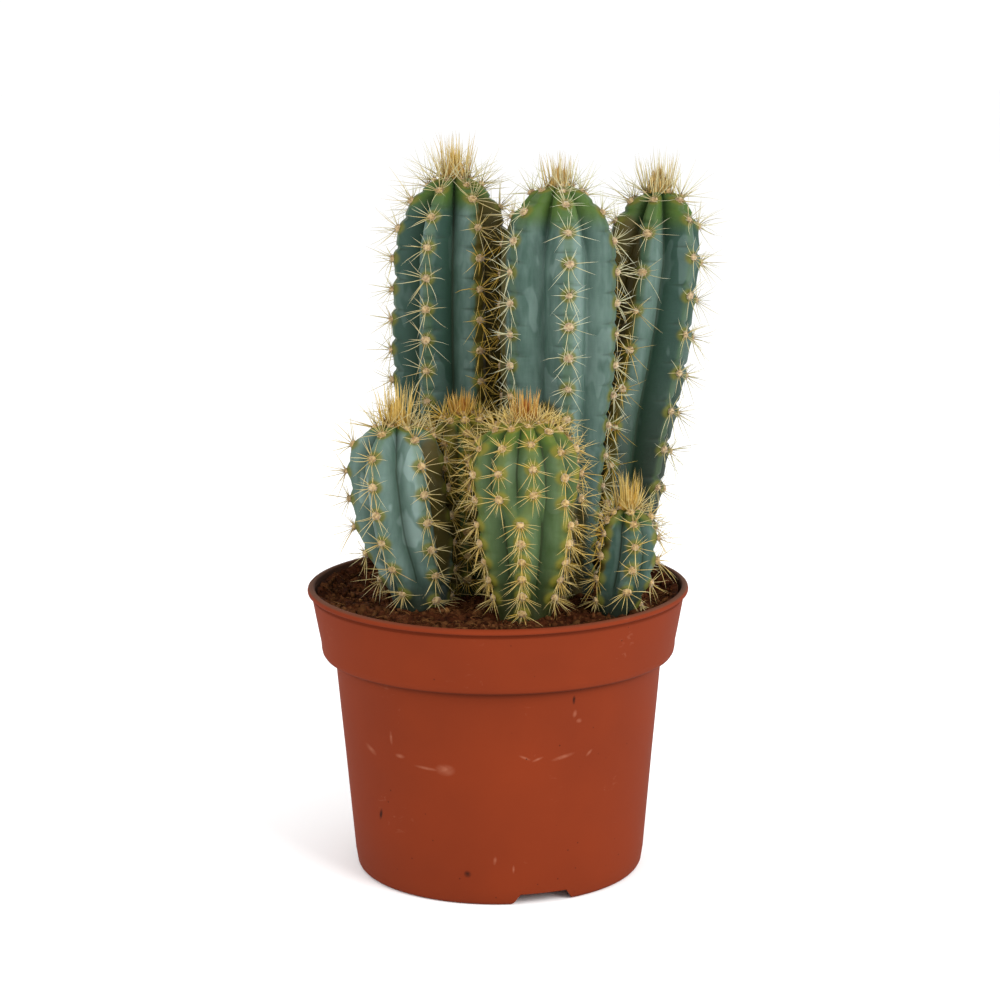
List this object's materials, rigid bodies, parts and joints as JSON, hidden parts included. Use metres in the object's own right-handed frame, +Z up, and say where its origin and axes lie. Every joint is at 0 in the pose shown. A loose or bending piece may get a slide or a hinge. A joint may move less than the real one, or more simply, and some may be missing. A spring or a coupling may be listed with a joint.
{
  "type": "potted tall cactus",
  "caption": "Group of ribbed, spiny columnar cactus stems of different heights, standing in dark soil in a round tapered terracotta-coloured plastic nursery pot.",
  "frame": {"origin": "middle of the pot's underside, on the surface that the pot stands on", "axes": "+Z up along the pot's axis, -Y towards the front of the plant, +X to the right seen from the front"},
  "size_m": [0.1917, 0.17, 0.3241],
  "materials": {
    "pot_plastic": "matte",
    "peat": "matte",
    "skin_blue": "satin",
    "skin_green": "satin",
    "spines": "satin",
    "wool": "matte"
  },
  "bodies": {
    "root": {"pot": "pot_plastic", "soil": "peat", "stem_tall_left": "skin_blue", "stem_tall_middle": "skin_blue", "stem_tall_right": "skin_blue", "stem_front_left": "skin_blue", "stem_front_globe": "skin_green", "stem_front_right": "skin_blue", "stem_back_small": "skin_green"}
  },
  "joints": []
}
